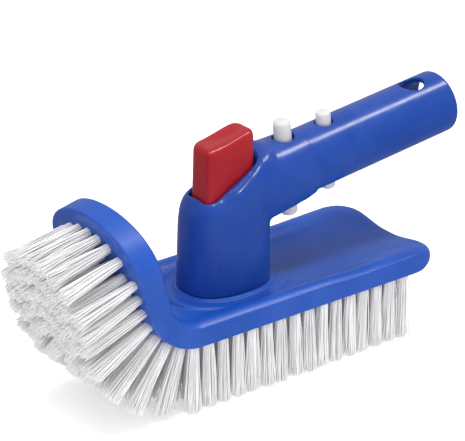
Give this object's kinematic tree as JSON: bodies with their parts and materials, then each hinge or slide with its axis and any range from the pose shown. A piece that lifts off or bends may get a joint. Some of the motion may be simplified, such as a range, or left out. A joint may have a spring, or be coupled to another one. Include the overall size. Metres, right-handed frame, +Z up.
{
  "type": "pool wall brush head",
  "caption": "Pool wall brush head with a curled toe, stapled tufts, a plug-on elbow with a push-button latch, and a handle tube with sprung pins for a telescopic pole.",
  "frame": {"origin": "middle of the elbow's oval post, on the plane of the tuft tips", "axes": "+X towards the heel and the pole, +Y across the brush, +Z up from the tuft tips; the curled toe points to -X and +Z"},
  "size_m": [0.2216, 0.0636, 0.1097],
  "materials": {
    "blue_plastic": "semi-gloss moulded plastic, royal blue",
    "neck_plastic": "semi-gloss moulded plastic, slightly deeper blue",
    "red_plastic": "semi-gloss moulded plastic, red",
    "white_nylon": "satin moulded nylon, translucent white",
    "bristle_nylon": "near-white nylon filament, satin",
    "dark_plastic": "matt moulded plastic, dark grey",
    "spring_steel": "drawn stainless wire"
  },
  "bodies": {
    "head": {"brush_back": "blue_plastic", "edge_tufts": "bristle_nylon", "inner_tufts": "bristle_nylon", "tuft_anchors": "spring_steel", "elbow_housing": "neck_plastic", "handle_tube": "neck_plastic", "button_spring": "spring_steel", "spring_cup": "white_nylon", "latch_carrier": "dark_plastic", "carrier_screws": "spring_steel", "neck_pin_spring": "spring_steel", "pole_pin_spring": "spring_steel"},
    "button": {"release_button": "red_plastic", "push_cam": "white_nylon"},
    "latch": {"lock_latch": "white_nylon", "latch_pin": "spring_steel"},
    "neck_pin_top": {"neck_pin_upper": "white_nylon"},
    "neck_pin_bottom": {"neck_pin_lower": "white_nylon"},
    "pole_pin_top": {"pole_pin_upper": "white_nylon"},
    "pole_pin_bottom": {"pole_pin_lower": "white_nylon"}
  },
  "joints": [
    {"name": "button_press", "type": "slide", "parent": "head", "child": "button", "axis": [0, 0, -1], "range_m": [0, 0.004], "stiffness_N_per_m": 400, "springref_m": -0.004, "deforming": ["button_spring"]},
    {"name": "latch_slide", "type": "slide", "parent": "head", "child": "latch", "axis": [1, 0, 0], "range_m": [0, 0.004]},
    {"name": "neck_pin_top_press", "type": "slide", "parent": "head", "child": "neck_pin_top", "axis": [0.126, 0, -0.992], "range_m": [0, 0.0066], "stiffness_N_per_m": 500, "springref_m": -0.004, "deforming": ["neck_pin_spring"]},
    {"name": "neck_pin_bottom_press", "type": "slide", "parent": "head", "child": "neck_pin_bottom", "axis": [-0.126, 0, 0.992], "range_m": [0, 0.0066], "stiffness_N_per_m": 500, "springref_m": -0.004},
    {"name": "pole_pin_top_press", "type": "slide", "parent": "head", "child": "pole_pin_top", "axis": [0.126, 0, -0.992], "range_m": [0, 0.0042], "stiffness_N_per_m": 400, "springref_m": -0.004, "deforming": ["pole_pin_spring"]},
    {"name": "pole_pin_bottom_press", "type": "slide", "parent": "head", "child": "pole_pin_bottom", "axis": [-0.126, 0, 0.992], "range_m": [0, 0.0042], "stiffness_N_per_m": 400, "springref_m": -0.004}
  ],
  "couplings": [
    {"joint": "latch_slide", "follows": "button_press", "ratio": 1}
  ]
}
